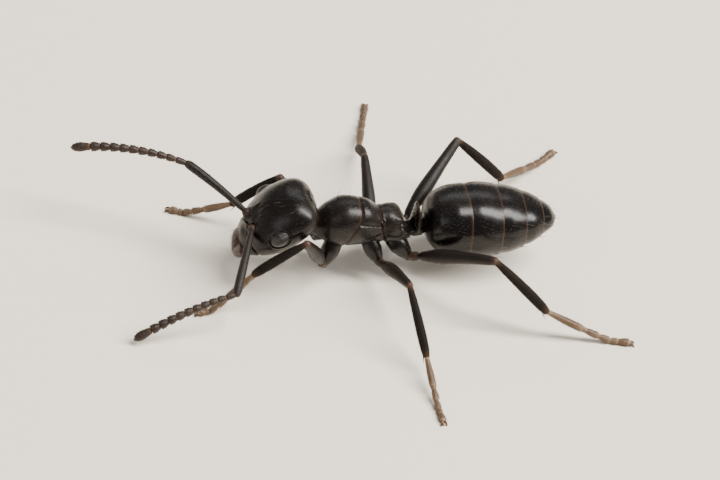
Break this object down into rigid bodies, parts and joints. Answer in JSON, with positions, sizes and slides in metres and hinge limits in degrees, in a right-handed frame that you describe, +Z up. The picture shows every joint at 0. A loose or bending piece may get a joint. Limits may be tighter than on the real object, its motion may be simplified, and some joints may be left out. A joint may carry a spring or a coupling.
{
  "type": "small black house ant",
  "caption": "Small glossy black ant standing on slender legs, jaws closed, feelers spread, with a thin upright waist scale and an oval pointed gaster.",
  "frame": {"origin": "on the ground under the thorax, at the middle of the stance", "axes": "-X is the way the ant faces, -Y its left side, +Z up from the ground plane through all six feet"},
  "size_m": [0.0048, 0.004, 0.001],
  "materials": {
    "plate": "glossy black cuticle with a faint brown tone",
    "limb": "satin blackish-brown cuticle",
    "foot": "satin pale brown cuticle",
    "jaw": "satin reddish-brown cuticle",
    "eye": "faceted, dull gloss, black"
  },
  "bodies": {
    "root": {"clypeus": "plate", "coxa_fore_left": "plate", "coxa_fore_right": "plate", "coxa_hind_left": "plate", "coxa_hind_right": "plate", "coxa_middle_left": "plate", "coxa_middle_right": "plate", "eye_left": "eye", "eye_right": "eye", "femur_fore_left": "limb", "femur_fore_right": "limb", "femur_hind_left": "limb", "femur_hind_right": "limb", "femur_middle_left": "limb", "femur_middle_right": "limb", "funiculus_left": "limb", "funiculus_right": "limb", "gaster_1": "plate", "gaster_2": "plate", "gaster_3": "plate", "gaster_4": "plate", "gaster_5": "plate", "head": "plate", "mandible_left": "jaw", "mandible_right": "jaw", "mesonotum": "plate", "petiole": "plate", "pronotum": "plate", "propodeum": "plate", "scape_left": "limb", "scape_right": "limb", "tarsus_fore_left": "foot", "tarsus_fore_right": "foot", "tarsus_hind_left": "foot", "tarsus_hind_right": "foot", "tarsus_middle_left": "foot", "tarsus_middle_right": "foot", "tibia_fore_left": "limb", "tibia_fore_right": "limb", "tibia_hind_left": "limb", "tibia_hind_right": "limb", "tibia_middle_left": "limb", "tibia_middle_right": "limb"}
  },
  "joints": []
}
